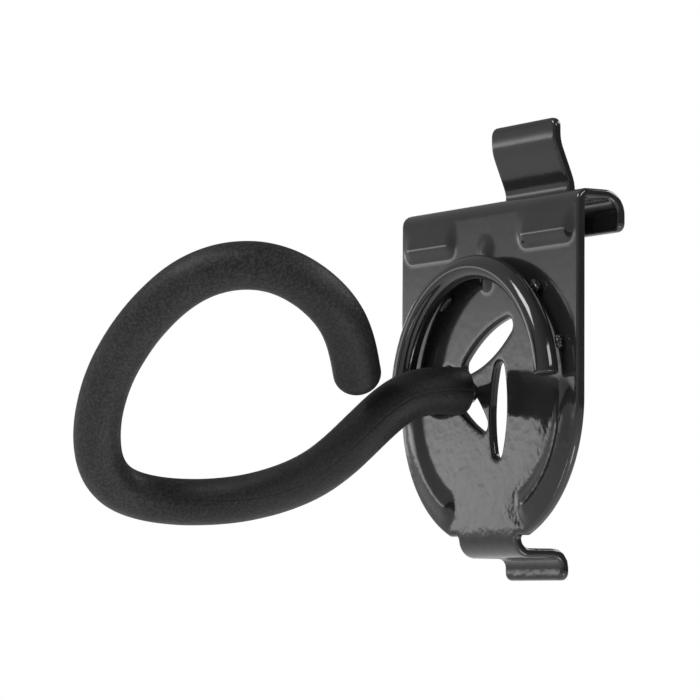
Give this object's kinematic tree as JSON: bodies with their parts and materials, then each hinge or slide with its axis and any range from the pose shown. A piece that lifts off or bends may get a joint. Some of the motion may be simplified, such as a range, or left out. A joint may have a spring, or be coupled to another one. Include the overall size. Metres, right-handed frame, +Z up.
{
  "type": "hair dryer holder",
  "caption": "Wall-rail holder for a hair dryer: a folded steel back plate with hook flanges, carrying a bent steel rod that forms an open loop covered in foam.",
  "frame": {"origin": "middle of the rail seat, the flat underside of the plate's top ledge", "axes": "+Z up, -Y out of the wall towards the user, +X to the right for someone facing the wall"},
  "size_m": [0.1406, 0.1461, 0.1555],
  "materials": {
    "coating": "glossy black powder coat",
    "foam": "matte black foam"
  },
  "bodies": {
    "root": {"back_plate": "coating", "rod": "coating", "foam_sleeve": "foam", "tip_cap": "foam", "weld_bead_upper": "coating", "weld_bead_end": "coating", "weld_bead_inner": "coating"}
  },
  "joints": []
}
